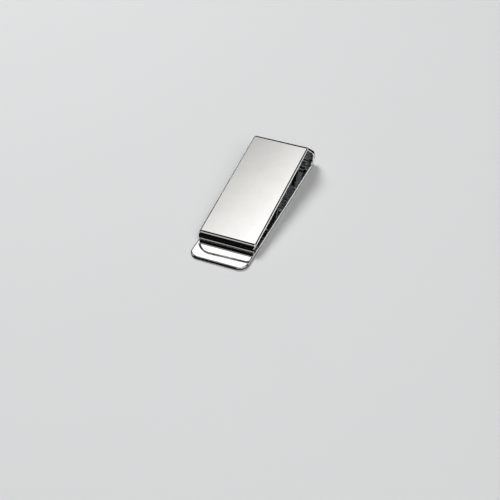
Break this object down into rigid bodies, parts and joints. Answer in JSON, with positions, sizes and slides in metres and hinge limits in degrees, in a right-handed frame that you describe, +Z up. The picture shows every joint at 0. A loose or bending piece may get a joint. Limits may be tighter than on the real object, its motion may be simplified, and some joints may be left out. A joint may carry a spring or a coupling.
{
  "type": "money clip",
  "caption": "Spring money clip folded from a polished strip: the sloping front leg's turned-down lip grips notes against the longer flat back leg.",
  "frame": {"origin": "under the middle of the clip, on the surface the back leg lies on", "axes": "+X across the strip, +Y along it from the open end to the fold, +Z up through the back leg to the front leg"},
  "size_m": [0.022, 0.0655, 0.0117],
  "materials": {
    "polished_steel": "mirror polished, with fine handling scuffs"
  },
  "bodies": {
    "back_leg": {"back_plate": "polished_steel", "heel_bend": "polished_steel"},
    "front_leg": {"crown_bend": "polished_steel", "front_plate": "polished_steel", "grip_lip": "polished_steel"}
  },
  "joints": [
    {"name": "fold_flex", "type": "hinge", "parent": "back_leg", "child": "front_leg", "pos_m": [0, 0.02894, 0.00848], "axis": [-1, 0, 0], "range_deg": [0, 4.5], "stiffness_Nm_per_rad": 2, "springref_deg": -1.72}
  ]
}
